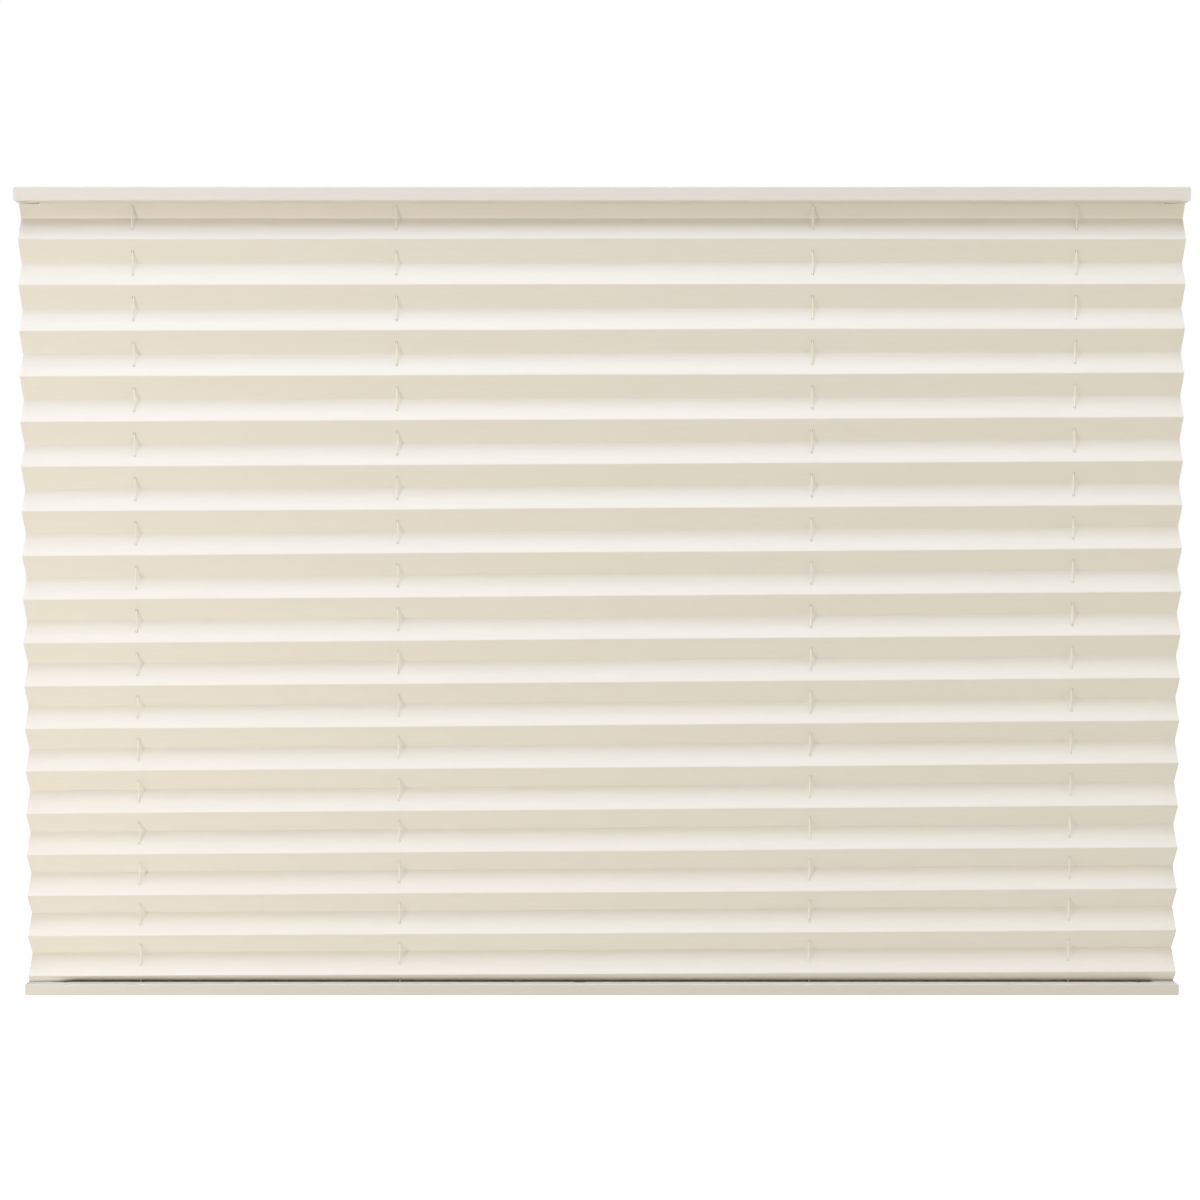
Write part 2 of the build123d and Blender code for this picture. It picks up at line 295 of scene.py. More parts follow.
def surface_grain_group():
    """Fine relief with a roughness that follows it, stretched along any axis."""
    inputs = {
        "Vector": (VECTOR, (0.0, 0.0, 0.0)),
        "Stretch": (VECTOR, (1.0, 1.0, 1.0)),
        "Scale": (NUMBER, 1000.0),
        "Roughness": (NUMBER, 0.5),
        "Spread": (NUMBER, 0.1),
    }
    group, start, end = new_group("Surface grain", inputs, {"Height": NUMBER, "Roughness": NUMBER})
    vector = stretched(group, start)
    coarse = clouds(group, vector, start["Scale"], 3.0, 0.6)
    fine_scale = calculate(group, "MULTIPLY", start["Scale"], FINE_GRAIN_SCALE)
    fine = clouds(group, vector, fine_scale, 2.0, 0.5)
    height = calculate(group, "MULTIPLY_ADD", fine, FINE_GRAIN_WEIGHT, coarse)
    centred = calculate(group, "SUBTRACT", height, USUAL_GRAIN_HEIGHT)
    spread = (centred, start["Spread"], start["Roughness"])
    roughness = calculate(group, "MULTIPLY_ADD", *spread, clamp=True)
    feed_inputs(group, end, Height=height, Roughness=roughness)
    return group


def tone_group():
    """Slow drift of a surface between its colour and a deeper shade of it."""
    inputs = {
        "Vector": (VECTOR, (0.0, 0.0, 0.0)),
        "Stretch": (VECTOR, (1.0, 1.0, 1.0)),
        "Scale": (NUMBER, 20.0),
        "Colour": (COLOUR, (0.8, 0.8, 0.8, 1.0)),
        "Shade": (COLOUR, (0.7, 0.7, 0.7, 1.0)),
        "Amount": (NUMBER, 0.5),
    }
    group, start, end = new_group("Tone drift", inputs, {"Colour": COLOUR})
    cloud = clouds(group, stretched(group, start), start["Scale"], 4.0, 0.55)
    sharpened = remap(group, cloud, 0.35, 0.65)
    mask = calculate(group, "MULTIPLY", sharpened, start["Amount"], clamp=True)
    feed_inputs(group, end, Colour=blend(group, mask, start["Colour"], start["Shade"]))
    return group


def dust_group():
    """Fine dust that settles where a surface faces up."""
    inputs = {
        "Vector": (VECTOR, (0.0, 0.0, 0.0)),
        "Colour": (COLOUR, (0.8, 0.8, 0.8, 1.0)),
        "Dust": (COLOUR, (0.7, 0.7, 0.7, 1.0)),
        "Amount": (NUMBER, 0.3),
    }
    group, start, end = new_group("Settled dust", inputs, {"Colour": COLOUR})
    normal = add_node(group, "ShaderNodeNewGeometry").outputs["Normal"]
    upward = add_node(group, "ShaderNodeSeparateXYZ", normal).outputs["Z"]
    level = remap(group, upward, 0.7, 1.0)
    patches = remap(group, clouds(group, start["Vector"], 140.0, 5.0, 0.65), 0.4, 0.7)
    settled = calculate(group, "MULTIPLY", level, patches)
    mask = calculate(group, "MULTIPLY", settled, start["Amount"], clamp=True)
    feed_inputs(group, end, Colour=blend(group, mask, start["Colour"], start["Dust"]))
    return group


GROUP_MAKERS = {
    "Surface grain": surface_grain_group,
    "Tone drift": tone_group,
    "Settled dust": dust_group,
}


def place_group(tree, name, **values):
    """Place one of the shared groups, built the first time, with its own values; returns its outputs."""
    group = bpy.data.node_groups.get(name) or GROUP_MAKERS[name]()
    node = tree.nodes.new("ShaderNodeGroup")
    node.node_tree = group
    feed_inputs(tree, node, **values)
    return node.outputs


def opaque(rgb):
    """A colour with full alpha."""
    return (*rgb, 1.0)


def new_material(name):
    """A material with a Principled shader; returns it, its tree, the shader and the surface socket."""
    material = bpy.data.materials.new(name)
    material.use_nodes = True
    tree = material.node_tree
    tree.nodes.clear()
    surface = tree.nodes.new("ShaderNodeOutputMaterial").inputs["Surface"]
    shader = tree.nodes.new("ShaderNodeBsdfPrincipled")
    feed(tree, surface, shader.outputs["BSDF"])
    return material, tree, shader, surface


def add_grain(tree, shader, place, grain, relief):
    """Give a shader the shared grain: its roughness, and a bump of this strength and distance."""
    made = place_group(tree, "Surface grain", Vector=place, **grain)
    bump = add_node(tree, "ShaderNodeBump", Strength=relief[0], Distance=relief[1], Height=made["Height"])
    feed_inputs(tree, shader, Roughness=made["Roughness"], Normal=bump.outputs["Normal"])


DUST_AMOUNT = 0.35  # How much of a level surface's colour is its dust
GLOW_SHARE = 0.035  # How much of the light that meets the cloth shines through it

# Each coated finish: its grain, its tone, the strength and distance of its bump, and its gloss.
COATS = {
    "powder_coat": (
        {"Scale": 900.0, "Roughness": 0.4, "Spread": 0.12},
        {"Scale": 9.0, "Stretch": (0.2, 1.0, 1.0), "Amount": 0.35},
        (0.2, 0.00012),
        0.5,
    ),
    "moulded_cap": (
        {"Scale": 1600.0, "Roughness": 0.48, "Spread": 0.14},
        {"Scale": 60.0, "Amount": 0.3},
        (0.25, 0.0001),
        0.45,
    ),
    "extruded_strip": (
        {"Scale": 700.0, "Stretch": (0.02, 1.0, 1.0), "Roughness": 0.42, "Spread": 0.18},
        {"Scale": 160.0, "Stretch": (0.02, 1.0, 1.0), "Amount": 0.6},
        (0.3, 0.0001),
        0.45,
    ),
    "moulded_ring": (
        {"Scale": 2600.0, "Roughness": 0.36, "Spread": 0.12},
        {"Scale": 300.0, "Amount": 0.4},
        (0.2, 0.00006),
        0.5,
    ),
}


def coat_nodes(names, coat, material_name, base, shade, dust):
    """Give CAD nodes a dusty, finely grained solid finish in place of their plain one."""
    grain, tone, relief, gloss = COATS[coat]
    material, tree, shader, _ = new_material(material_name)
    place = add_node(tree, "ShaderNodeTexCoord").outputs["Object"]
    colours = {"Colour": opaque(base), "Shade": opaque(shade)}
    toned = place_group(tree, "Tone drift", Vector=place, **colours, **tone)["Colour"]
    colours = {"Colour": toned, "Dust": opaque(dust)}
    dusted_or_shaded = place_group(tree, "Settled dust", Vector=place, **colours, Amount=DUST_AMOUNT)["Colour"]
    feed_inputs(tree, shader, Base_Color=dusted_or_shaded, Specular_IOR_Level=gloss)
    add_grain(tree, shader, place, grain, relief)
    for name in names:
        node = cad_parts[name]
        if not node.material_slots:
            node.data.materials.append(material)
        for slot in node.material_slots:
            slot.material = material


def mapped_material(name, uv_map, settings, tone, grain, relief):
    """A material whose tone and grain follow a UV map.

    Returns it, its tree, the shader, the surface socket and its toned colour.
    """
    material, tree, shader, surface = new_material(name)
    place = add_node(tree, "ShaderNodeUVMap", uv_map=uv_map).outputs["UV"]
    colours = {"Colour": opaque(settings.base), "Shade": opaque(settings.shade)}
    toned = place_group(tree, "Tone drift", Vector=place, **colours, **tone)["Colour"]
    feed_inputs(tree, shader, Base_Color=toned)
    add_grain(tree, shader, place, grain, relief)
    return material, tree, shader, surface, toned


def cloth_material(settings):
    """Matt pleated polyester: faint slubs along the width, painted shade on the cloth beside the rails,
    and painted shade round the hole rims.
    """
    material, tree, shader, surface, toned = mapped_material(
        "pleated_cloth",
        "flat_cut",
        settings,
        tone={"Stretch": (0.12, 1.0, 1.0), "Scale": 260.0, "Amount": 0.3},
        grain={"Stretch": (0.3, 1.0, 1.0), "Scale": 1700.0, "Roughness": 0.82, "Spread": 0.22},
        relief=(0.35, 0.00015),
    )
    # Painted shade beside the rails (real dust only on the coated parts, which share the colour's name).
    near_rail = add_node(tree, "ShaderNodeAttribute", attribute_name="near_rail").outputs["Fac"]
    dusted_or_shaded = blend(tree, near_rail, toned, opaque(settings.dust))
    # Painted shade round the cord holes, darkest at each hole's rim.
    rim = add_node(tree, "ShaderNodeAttribute", attribute_name="hole_rim").outputs["Fac"]
    rim_shaded = blend(tree, remap(tree, rim, 0.6, 0.85, top=0.85), dusted_or_shaded, opaque(settings.rim))
    feed_inputs(tree, shader, Base_Color=rim_shaded, Specular_IOR_Level=0.25)
    feed_inputs(tree, shader, Sheen_Weight=0.1, Sheen_Roughness=0.6)
    glow = add_node(tree, "ShaderNodeBsdfTranslucent", Color=rim_shaded)
    feed(tree, surface, mix_shaders(tree, GLOW_SHARE, shader.outputs["BSDF"], glow.outputs["BSDF"]))
    return material


def cord_material(settings):
    """Braided polyester: the strands are geometry, and this adds their filaments."""
    material, tree, shader, _, _ = mapped_material(
        "braided_cord",
        "round_and_along",
        settings,
        tone={"Scale": 900.0, "Amount": 0.45},
        grain={"Stretch": (3.0, 0.5, 1.0), "Scale": 2600.0, "Roughness": 0.62, "Spread": 0.3},
        relief=(0.5, 0.0001),
    )
    feed_inputs(tree, shader, Sheen_Weight=0.2)
    return material


def steel_material(settings):
    """Bright drawn spring wire with faint draw marks."""
    material, tree, shader, _, _ = mapped_material(
        "spring_wire",
        "round_and_along",
        settings,
        tone={"Scale": 300.0, "Amount": 0.4},
        grain={"Stretch": (4.0, 0.1, 1.0), "Scale": 2500.0, "Roughness": 0.28, "Spread": 0.2},
        relief=(0.2, 0.00005),
    )
    feed_inputs(tree, shader, Metallic=1.0)
    return material


# ---- Mesh helpers ----
NEARLY_PARALLEL = 0.1  # Two directions whose cross product is shorter than this


def add_object(name, data):
    """An object in the scene."""
    made = bpy.data.objects.new(name, data)
    bpy.context.scene.collection.objects.link(made)
    return made


def new_piece(name, vertices, faces, material):
    """A smooth mesh object from points and faces."""
    mesh = bpy.data.meshes.new(name)
    mesh.from_pydata([tuple(point) for point in vertices], [], faces)
    mesh.validate()
    mesh.materials.append(material)
    piece = add_object(name, mesh)
    mesh.shade_smooth()
    return piece


def apply_modifiers(piece):
    """Replace a piece's mesh with what its modifiers make of it."""
    depsgraph = bpy.context.evaluated_depsgraph_get()
    final = bpy.data.meshes.new_from_object(piece.evaluated_get(depsgraph))
    piece.modifiers.clear()
    piece.data = final


def add_uv(mesh, name, places):
    """Write a UV map from one place for each vertex."""
    corners = np.zeros(len(mesh.loops), np.int32)
    mesh.loops.foreach_get("vertex_index", corners)
    layer = mesh.uv_layers.new(name=name)
    layer.uv.foreach_set("vector", places[corners].astype(np.float32).ravel())


def add_mask(mesh, name, values):
    """Store one number for each vertex."""
    attribute = mesh.attributes.new(name, "FLOAT", "POINT")
    attribute.data.foreach_set("value", values.astype(np.float32))


def smooth_step(value):
    """0 below 0, 1 above 1, and smooth between."""
    value = np.clip(value, 0, 1)
    return value * value * (3 - 2 * value)


def smooth_noise(*coordinates):
    """Smooth noise at each of many places, given by their three coordinates."""
    return np.array([noise.noise(Vector(place)) for place in np.broadcast(*coordinates)])


def distances_along(points):
    """How far along a line each of its points lies."""
    steps = np.linalg.norm(np.diff(points, axis=0), axis=1)
    return np.concatenate([[0.0], np.cumsum(steps)])


def angles_round(sides):
    """The angle of each side of a tube."""
    return np.arange(sides) * (2 * math.pi / sides)


def tube(centres, radii):
    """Rings of points round a line, and the quads that join them, with a cap at each end."""
    sides = radii.shape[1]
    across, upwards = frames_along(centres)
    angles = angles_round(sides)[None, :, None]
    ring = np.cos(angles) * across[:, None, :] + np.sin(angles) * upwards[:, None, :]
    points = (centres[:, None, :] + ring * radii[:, :, None]).reshape(-1, 3)
    faces = []
    for row in range(len(centres) - 1):
        this, following = row * sides, (row + 1) * sides
        for side in range(sides):
            after = (side + 1) % sides
            faces.append((this + side, this + after, following + after, following + side))
    faces.append(tuple(reversed(range(sides))))
    faces.append(tuple(range(len(points) - sides, len(points))))
    return points, faces


def unrolled(radius, sides, along):
    """A tube's surface laid flat: how far round and how far along it each point lies."""
    return np.stack([np.tile(angles_round(sides) * radius, len(along)), np.repeat(along, sides)], 1)


def frames_along(centres):
    """Two unit vectors square to a line at each of its points, turning as little as they can."""
    tangents = np.gradient(centres, axis=0)
    tangents /= np.linalg.norm(tangents, axis=1)[:, None]
    start = np.cross(tangents[0], (0.0, 1.0, 0.0))
    if np.linalg.norm(start) < NEARLY_PARALLEL:
        start = np.cross(tangents[0], (0.0, 0.0, 1.0))
    across = [start / np.linalg.norm(start)]
    for tangent in tangents[1:]:
        carried = across[-1] - tangent * (across[-1] @ tangent)
        across.append(carried / np.linalg.norm(carried))
    across = np.array(across)
    return across, np.cross(tangents, across)


# ---- Cloth ----
# How the creases and the cord holes are worked out.
CREASE_SAMPLES = 9
CREASE_RUN_ON = 4
HOLE_SEARCH_STEPS = 30

# The smooth noise that moves the cloth: how fast it varies across the width and from face to face
# and down each face, or across the width and down the flat cloth, in a layer of its own.
RIPPLE_NOISE = (9.0, 3.1, 1.6)
DEPTH_NOISE = (3.2, 34.0, 7.3)
HEIGHT_NOISE = (2.3, 30.0, 19.1)

# Where the cloth is held: round each cord and along the rails. Its tilt follows part of a half
# wave down the blind and fades above the foot. The lean is in shares of half the width.
CORD_HOLD = 0.022
RAIL_HOLD = 0.02
TILT_ARC = 0.8
TILT_STOP = 0.006
TILT_FADE = 0.016
LEAN_START = 0.93
LEAN_FADE = 0.02

# The grid of the flat cloth, in metres, in crease lengths or in shares of a face.
HOLE_MARGIN = 0.0005
TRIM_SAMPLES = 40001
CREASE_ROWS = (0, -0.6, 0.6, -1.5, 1.5)
FACE_ROWS = (0.22, 0.78)
ROW_GAP = 0.0003
USUAL_COLUMNS = 79
COLUMN_GAP = 0.006
LINE_SLACK = 1e-7

# How much painted shade darkens the cloth beside each rail, and the length of cloth over which it fades
# out.
HEAD_SHADE = 0.42
HEAD_SHADE_FADE = 0.006
FOOT_SHADE = 0.15
FOOT_SHADE_FADE = 0.003

SHARP_ANGLE = math.radians(50)


def nose_heights(cloth):
    """The heights of the front folds. Their spacing shrinks downwards under the cloth's weight."""
    usual_pitch = cloth.face_length * cloth.openness
    first = HEAD_RAIL_BOTTOM - cloth.first_nose_share * usual_pitch
    span = first - (BOTTOM_RAIL_TOP + cloth.last_nose_share * usual_pitch)
    gaps = round(span / usual_pitch)
    places = [gap / (gaps - 1) for gap in range(gaps)]
    weights = [1 - cloth.pitch_loss * place - cloth.pitch_loss_squared * place**2 for place in places]
    heights = [first]
    for weight in weights:
        heights.append(heights[-1] - span * weight / sum(weights))
    return heights


def half_depth(cloth, rise):
    """Half the depth of a pleat whose two folds stand this far apart in height."""
    return math.sqrt(cloth.face_length**2 - rise**2) / 2


def fold_line(cloth):
    """The folded cloth's middle line, as (y, z) points from the head strip to the bottom strip."""
    noses = nose_heights(cloth)
    top_rise = (noses[0] - noses[1]) / 2
    last_rise = (noses[-2] - noses[-1]) / 2
    top_depth = half_depth(cloth, top_rise)
    last_depth = half_depth(cloth, last_rise)
    top_tab_z = HEAD_STRIP_LOW.z - cloth.glue_line - cloth.thickness / 2
    last_tab_z = BOTTOM_STRIP_HIGH.z + cloth.glue_line + cloth.thickness / 2
    first_valley_z = noses[0] + top_rise
    top_y = top_depth * (1 - 2 * (top_tab_z - first_valley_z) / top_rise)
    points = [(cloth.head_tab_back, top_tab_z), (top_y, top_tab_z), (top_depth, first_valley_z)]
    for upper, lower in zip(noses, noses[1:]):
        depth = half_depth(cloth, (upper - lower) / 2)
        points += [(-depth, upper), (depth, (upper + lower) / 2)]
    tab_end = cloth.foot_back + cloth.bottom_tab_length
    points += [(-last_depth, noses[-1]), (cloth.foot_back, last_tab_z), (tab_end, last_tab_z)]
    return np.array(points)


class FoldedSection:
    """The cloth's section: a point of it for each length along the flat cloth."""

    def __init__(self, cloth):
        self.points = fold_line(cloth)
        self.steps = np.diff(self.points, axis=0)
        self.lengths = np.linalg.norm(self.steps, axis=1)
        self.marks = distances_along(self.points)
        self.crease = cloth.crease
        self.sag = cloth.sag
        run_on = CREASE_RUN_ON * cloth.crease
        first = self.points[0] - self.steps[0] / self.lengths[0] * run_on
        last = self.points[-1] + self.steps[-1] / self.lengths[-1] * run_on
        self.long_points = np.vstack([first, self.points, last])
        self.long_marks = np.concatenate([[-run_on], self.marks, [self.marks[-1] + run_on]])

    def face_of(self, along):
        """The face that each length lies in, and how far through it."""
        face = np.clip(np.searchsorted(self.marks, along, side="right") - 1, 0, len(self.lengths) - 1)
        return face, (along - self.marks[face]) / self.lengths[face]

    def at(self, along):
        """(y, z) with the creases bent round and the faces sagging."""
        near = along + np.linspace(-self.crease, self.crease, CREASE_SAMPLES)[:, None]
        bent_y = np.interp(near, self.long_marks, self.long_points[:, 0]).mean(0)
        bent_z = np.interp(near, self.long_marks, self.long_points[:, 1]).mean(0)
        face, through = self.face_of(along)
        free = (face > 0) & (face < len(self.lengths) - 1)
        step = self.steps[face] / self.lengths[face][:, None]
        depth = self.sag * np.sin(np.pi * through) * free
        y = bent_y + depth * step[:, 1] * np.sign(step[:, 0])
        z = bent_z - depth * np.abs(step[:, 0])
        return y, z

    def cord_holes(self):
        """The lengths at which an upright cord at y = 0 meets the cloth."""
        found = []
        for face in range(len(self.lengths)):
            if self.points[face][0] * self.points[face + 1][0] >= 0:
                continue
            low, high = self.marks[face], self.marks[face + 1]
            start = self.at(np.array([low]))[0][0]
            for _ in range(HOLE_SEARCH_STEPS):
                middle = (low + high) / 2
                if self.at(np.array([middle]))[0][0] * start > 0:
                    low = middle
                else:
                    high = middle
            found.append((low + high) / 2)
        return found


def merge_lines(fixed, loose, gap):
    """Grid lines: all the fixed ones, and the loose ones that aren't near another."""
    lines = sorted(set(fixed))
    for value in loose:
        if min(abs(value - line) for line in lines) > gap:
            lines.append(value)
    return np.array(sorted(lines))


def hang_cloth(cloth, section, x, along):
    """Where each point of the flat cloth hangs."""
    y, z = section.at(along)
    face, through = section.face_of(along)
    half_width = CLOTH_HIGH.x
    total = section.marks[-1]
    from_cord = np.ones_like(x)
    for place in CORD_PLACES.values():
        from_cord *= 1 - np.exp(-(((x - place) / CORD_HOLD) ** 2))
    held = smooth_step((along - section.marks[2]) / RAIL_HOLD)
    held *= smooth_step((section.marks[-3] - along) / RAIL_HOLD)
    ripples = smooth_noise(*(part * speed for part, speed in zip((x, face, through), RIPPLE_NOISE)))
    depths = smooth_noise(x * DEPTH_NOISE[0], along * DEPTH_NOISE[1], DEPTH_NOISE[2])
    heights = smooth_noise(x * HEIGHT_NOISE[0], along * HEIGHT_NOISE[1], HEIGHT_NOISE[2])
    y = y + held * from_cord * (cloth.ripple * ripples * np.sin(np.pi * through) + cloth.wander * depths)
    z = z + held * cloth.wander * heights
    down = np.clip((along - section.marks[3]) / (total - section.marks[3]), 0, 1)
    tilt = cloth.tilt * np.sin(TILT_ARC * np.pi * down)
    tilt *= smooth_step((total - TILT_STOP - along) / TILT_FADE)
    z = z + tilt * x / half_width
    lean = smooth_step((-LEAN_START * half_width - x) / (LEAN_FADE * half_width))
    lean *= smooth_step((along - section.marks[-3]) / section.lengths[-2])
    y = y - cloth.corner_lean * lean
    return np.stack([x, y, z], 1)


def flat_grid(cloth, cord, section):
    """The flat cloth as grid lines with a ring of faces round each cord hole, its corners cut away.

    Returns its points, its faces and which points are on a hole's rim.
    """
    hole_reach = cloth.hole / 2 + HOLE_MARGIN
    eighth = math.tan(math.radians(22.5))
    reaches = [hole_reach * part for part in (-1, -eighth, 0, eighth, 1)]
    holes = section.cord_holes()
    marks = section.marks
    half_width = CLOTH_HIGH.x
    head_half = HEAD_STRIP_HIGH.x
    bottom_half = BOTTOM_STRIP_HIGH.x
    samples = np.linspace(marks[0], marks[-1], TRIM_SAMPLES)
    heights = section.at(samples)[1]
    head_trim = samples[np.argmax(heights < CAP_BOTTOM - cloth.trim_clearance)]
    bottom_trim = samples[np.argmax(heights < BOTTOM_RAIL_TOP + cloth.trim_clearance)]
    fixed_rows = [hole + reach for hole in holes for reach in reaches]
    fixed_rows += [marks[0], marks[-1], head_trim, bottom_trim]
    crease_rows = [mark + part * cloth.crease for mark in marks[1:-1] for part in CREASE_ROWS]
    face_rows = [low + (high - low) * part for low, high in zip(marks, marks[1:]) for part in FACE_ROWS]
    rows = merge_lines(fixed_rows, crease_rows + face_rows, ROW_GAP)
    fixed_columns = [place + reach for place in CORD_PLACES.values() for reach in reaches]
    for limit in (half_width, head_half, bottom_half):
        fixed_columns += [-limit, limit]
    usual_columns = np.linspace(-half_width, half_width, USUAL_COLUMNS)
    columns = merge_lines(fixed_columns, usual_columns, COLUMN_GAP)

    def lines_round(lines, middle):
        """The grid lines that bound a hole's ring of faces."""
        ends = (middle - hole_reach - LINE_SLACK, middle + hole_reach - LINE_SLACK)
        return np.searchsorted(lines, ends)

    blocks = {}
    for place in CORD_PLACES.values():
        left, right = lines_round(columns, place)
        for hole in holes:
            top, bottom = lines_round(rows, hole)
            blocks[(left, right, top, bottom)] = (place, hole)
    covered = np.zeros((len(columns), len(rows)), bool)
    for left, right, top, bottom in blocks:
        covered[left:right, top:bottom] = True
    middle_x = (columns[:-1] + columns[1:]) / 2
    middle_row = (rows[:-1] + rows[1:]) / 2
    trimmed = (np.abs(middle_x)[:, None] > head_half) & (middle_row[None, :] < head_trim)
    trimmed |= (np.abs(middle_x)[:, None] > bottom_half) & (middle_row[None, :] > bottom_trim)
    covered[:-1, :-1] |= trimmed

    points, numbers, faces, rims = [], {}, [], []

    def number(i, j):
        """The number of the point where two grid lines cross, made when it is first asked for."""
        if (i, j) not in numbers:
            numbers[(i, j)] = len(points)
            points.append((columns[i], rows[j]))
        return numbers[(i, j)]

    for i in range(len(columns) - 1):
        for j in range(len(rows) - 1):
            if not covered[i, j]:
                faces.append((number(i, j), number(i + 1, j), number(i + 1, j + 1), number(i, j + 1)))
    for (left, right, top, bottom), (place, hole) in blocks.items():
        around = [(i, top) for i in range(left, right)]
        around += [(right, j) for j in range(top, bottom)]
        around += [(i, bottom) for i in range(right, left, -1)]
        around += [(left, j) for j in range(bottom, top, -1)]
        centre = place + cord_stray(cord, place, section.at(np.array([hole]))[1][0])
        rim = []
        for i, j in around:
            aside, down = columns[i] - place, rows[j] - hole
            shrink = 1 / math.hypot(aside / (cloth.hole_width / 2), down / (cloth.hole / 2))
            rim.append(len(points))
            points.append((centre + aside * shrink, hole + down * shrink))
        for k in range(len(around)):
            after = (k + 1) % len(around)
            faces.append((number(*around[k]), number(*around[after]), rim[after], rim[k]))
        rims += rim
    return np.array(points), faces, rims


def make_cloth(cloth, cord):
    """The pleated cloth: a flat cut sheet with its cord holes, folded, hung and given its thickness."""
    section = FoldedSection(cloth)
    flat, faces, rims = flat_grid(cloth, cord, section)
    hung = hang_cloth(cloth, section, flat[:, 0], flat[:, 1])
    piece = new_piece("pleated_cloth", hung, faces, cloth_material(cloth))
    add_uv(piece.data, "flat_cut", flat)
    # The points on a hole's rim carry the painted shade round the holes.
    on_rim = np.zeros(len(flat))
    on_rim[rims] = 1.0
    add_mask(piece.data, "hole_rim", on_rim)
    # Mask of the painted shade: darkest on the first face under the head rail, lighter on the last face
    # above the bottom rail.
    shade_below_head = HEAD_SHADE * smooth_step((section.marks[2] - flat[:, 1]) / HEAD_SHADE_FADE)
    shade_above_foot = FOOT_SHADE * smooth_step((flat[:, 1] - section.marks[-3]) / FOOT_SHADE_FADE)
    add_mask(piece.data, "near_rail", np.maximum(shade_below_head, shade_above_foot))
    thicken = piece.modifiers.new("thickness", "SOLIDIFY")
    thicken.thickness = cloth.thickness
    thicken.offset = 0.0
    thicken.use_even_offset = True
    apply_modifiers(piece)
    piece.data.set_sharp_from_angle(angle=SHARP_ANGLE)
    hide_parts("pleated_fabric")
    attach(piece, "head_assembly")
    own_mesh(piece)


# ---- Cords ----
CORD_SIDES = 16
RINGS_PER_RIDGE = 4
STRANDS_ROUND = 4

# The smooth noise that a cord strays by, what stretches it to about -1 to 1, and the length of
# cord beside each rail over which the stray grows.
STRAY_NOISE = (40, 38, 3.7)
STRAY_GAIN = 1.8
STRAY_GROWTH = 0.02

# The knot and the loop at a cord's spring end, in cord diameters, and how finely they are drawn.
RUN_START = 1.6
KNOT_PLACE = 2.6
KNOT_SIZE = 0.27
KNOT_POINTS = 73
LOOP_RADIUS = 1.35
LOOP_POINTS = 49
LOOP_SHIFT = 0.45  # In loop radii, towards the cord


def cord_stray(cord, x, z):
    """How far a cord stands beside its upright at a height: it zigzags a little from hole to hole."""
    free = smooth_step((HEAD_RAIL_BOTTOM - z) / STRAY_GROWTH)
    free *= smooth_step((z - BOTTOM_RAIL_TOP) / STRAY_GROWTH)
    swing = STRAY_GAIN * noise.noise(Vector((x * STRAY_NOISE[0], z * STRAY_NOISE[1], STRAY_NOISE[2])))
    return float(free) * cord.stray * max(-1.0, min(1.0, swing))


def cord_line(cord, start_x, x, low_z):
    """Points along a cord: from its spring along the head rail, round a bend, then down."""
    side = math.copysign(1, x - start_x)
    radius = cord.bend_radius
    level = abs(x - start_x) - radius
    turn = radius * math.pi / 2
    upright = SPRING_AXIS_Z - radius - low_z
    total = level + turn + upright
    count = round(total / (cord.braid_length / RINGS_PER_RIDGE))
    points = []
    for along in np.linspace(0, total, count + 1):
        if along < level:
            points.append((start_x + side * along, 0.0, SPRING_AXIS_Z))
        elif along < level + turn:
            angle = (along - level) / radius
            bent_x = x - side * radius + side * radius * math.sin(angle)
            points.append((bent_x, 0.0, SPRING_AXIS_Z - radius * (1 - math.cos(angle))))
        else:
            z = SPRING_AXIS_Z - radius - (along - level - turn)
            points.append((x + cord_stray(cord, x, z), 0.0, z))
    return np.array(points)


def braided_tube(cord, centres):
    """A cord's surface, with the crossing ridges of its braid, and its places on the UV map."""
    along = distances_along(centres)
    turns = STRANDS_ROUND * angles_round(CORD_SIDES)[None, :]
    phase = 2 * math.pi * along[:, None] / cord.braid_length
    ridges = np.cos(turns + phase) * np.cos(turns - phase)
    radii = cord.diameter / 2 - cord.braid_depth * (0.5 - 0.5 * ridges)
    points, faces = tube(centres, radii)
    return points, faces, unrolled(cord.diameter / 2, CORD_SIDES, along)


def knot_line(cord, middle, side):
    """A small overhand knot's centreline."""
    turn = np.linspace(0, 2 * math.pi, KNOT_POINTS)
    size = cord.diameter * KNOT_SIZE
    x = middle[0] - side * size * np.sin(3 * turn)
    y = middle[1] + size * (np.sin(turn) + 2 * np.sin(2 * turn))
    z = middle[2] + size * (np.cos(turn) - 2 * np.cos(2 * turn))
    return np.stack([x, y, z], 1)


def loop_line(cord, start_x, side):
    """The loop that ties a cord to its spring's eye."""
    turn = np.linspace(0, 2 * math.pi, LOOP_POINTS)
    radius = cord.diameter * LOOP_RADIUS
    x = start_x + side * radius * LOOP_SHIFT + radius * np.cos(turn)
    return np.stack([x, radius * np.sin(turn), np.full_like(turn, SPRING_AXIS_Z)], 1)


